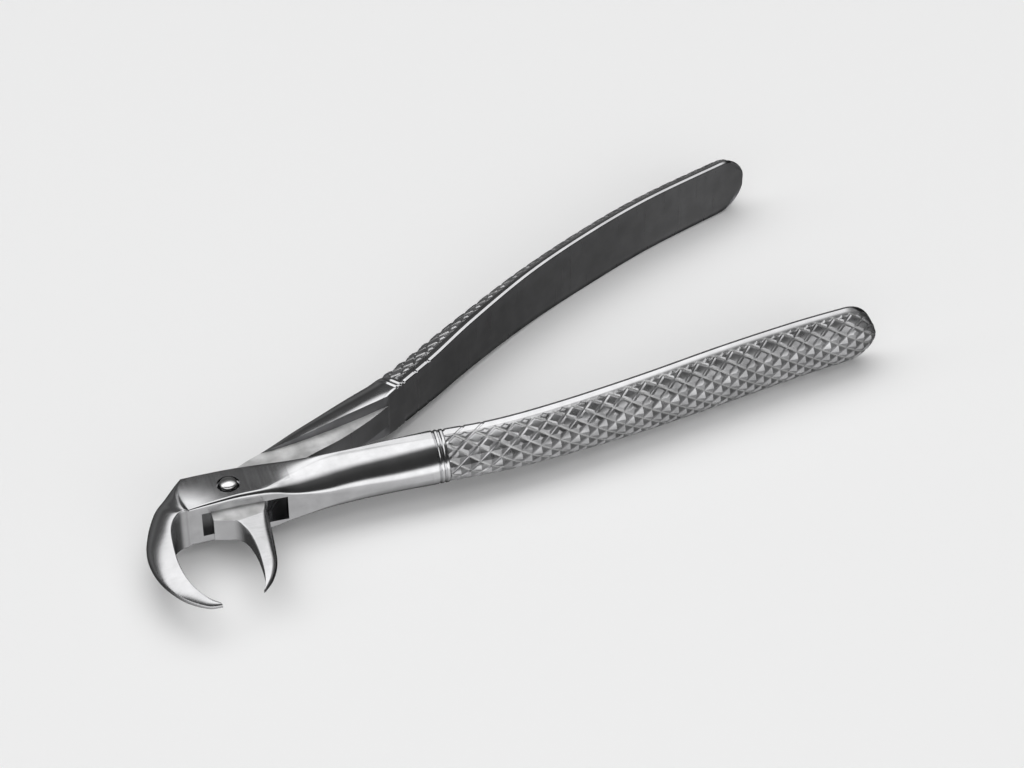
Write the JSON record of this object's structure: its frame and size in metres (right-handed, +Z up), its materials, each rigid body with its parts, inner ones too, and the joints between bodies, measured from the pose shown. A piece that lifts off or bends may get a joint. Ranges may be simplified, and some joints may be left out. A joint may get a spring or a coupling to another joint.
{
  "type": "dental extraction forceps",
  "caption": "Hinged extraction forceps with two curved pointed beaks set to one side, a box joint on one rivet and two long knurled handles.",
  "frame": {"origin": "on the rivet's axis, at the joint's flat underside", "axes": "+X along the box towards the handle ends, +Y away from the beaks towards the side where the inner handle leaves the joint, +Z up along the rivet towards its head"},
  "size_m": [0.1596, 0.098, 0.0144],
  "materials": {
    "outer_steel": "satin box and knurled grip, polished neck",
    "inner_steel": "brushed flat face and knurled grip, polished neck",
    "rivet_steel": "polished head"
  },
  "bodies": {
    "outer": {"outer_half": "outer_steel", "joint_rivet": "rivet_steel"},
    "inner": {"inner_half": "inner_steel"}
  },
  "joints": [
    {"name": "jaw_hinge", "type": "hinge", "parent": "outer", "child": "inner", "pos_m": [0, 0, 0.0052], "axis": [0, 0, 1], "range_deg": [-18, 20]}
  ]
}
